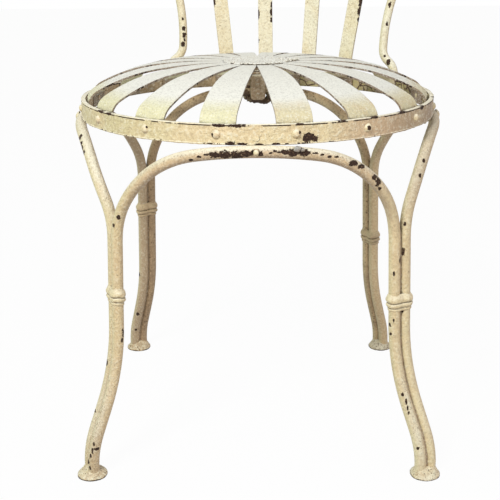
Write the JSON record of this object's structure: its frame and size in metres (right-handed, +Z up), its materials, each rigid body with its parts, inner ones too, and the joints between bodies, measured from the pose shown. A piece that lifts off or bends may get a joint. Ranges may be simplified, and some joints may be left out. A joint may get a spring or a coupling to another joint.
{
  "type": "metal bistro chair",
  "caption": "Round-seated garden chair with a sprung seat of flat metal petals, arched bent-rod legs with collars, and a looped rod back with flat slats.",
  "frame": {"origin": "on the floor, under the middle of the whole chair's box", "axes": "+Z up, +Y from the front of the seat to the back, +X to the right for a viewer who faces the chair"},
  "size_m": [0.4254, 0.4868, 0.8281],
  "materials": {
    "frame_paint": "old thick cream paint, chipped",
    "seat_paint": "old thick off-white paint, matt",
    "back_paint": "old thick cream paint, chipped",
    "foot_paint": "worn cream paint with rust",
    "rivet_paint": "thick cream paint, chipped"
  },
  "bodies": {
    "root": {"back_hoop": "back_paint", "back_rivets": "rivet_paint", "back_slat_1": "back_paint", "back_slat_2": "back_paint", "back_slat_3": "back_paint", "back_slat_4": "back_paint", "crown_rivets": "rivet_paint", "front_arch": "frame_paint", "front_left_collar": "frame_paint", "front_left_foot": "foot_paint", "front_plate": "frame_paint", "front_right_collar": "frame_paint", "front_right_foot": "foot_paint", "hoop_rivets": "rivet_paint", "hub_cap": "seat_paint", "hub_disc": "seat_paint", "hub_rivet": "seat_paint", "left_arch": "frame_paint", "left_plate": "frame_paint", "petal_01": "seat_paint", "petal_02": "seat_paint", "petal_03": "seat_paint", "petal_04": "seat_paint", "petal_05": "seat_paint", "petal_06": "seat_paint", "petal_07": "seat_paint", "petal_08": "seat_paint", "petal_09": "seat_paint", "petal_10": "seat_paint", "petal_11": "seat_paint", "petal_12": "seat_paint", "petal_13": "seat_paint", "petal_14": "seat_paint", "petal_15": "seat_paint", "petal_16": "seat_paint", "petal_rivets": "rivet_paint", "plate_rivets": "rivet_paint", "rear_arch": "frame_paint", "rear_left_collar": "frame_paint", "rear_left_foot": "foot_paint", "rear_plate": "frame_paint", "rear_right_collar": "frame_paint", "rear_right_foot": "foot_paint", "right_arch": "frame_paint", "right_plate": "frame_paint", "seat_ring": "frame_paint", "side_rivets": "rivet_paint", "slat_rivets": "rivet_paint"}
  },
  "joints": []
}
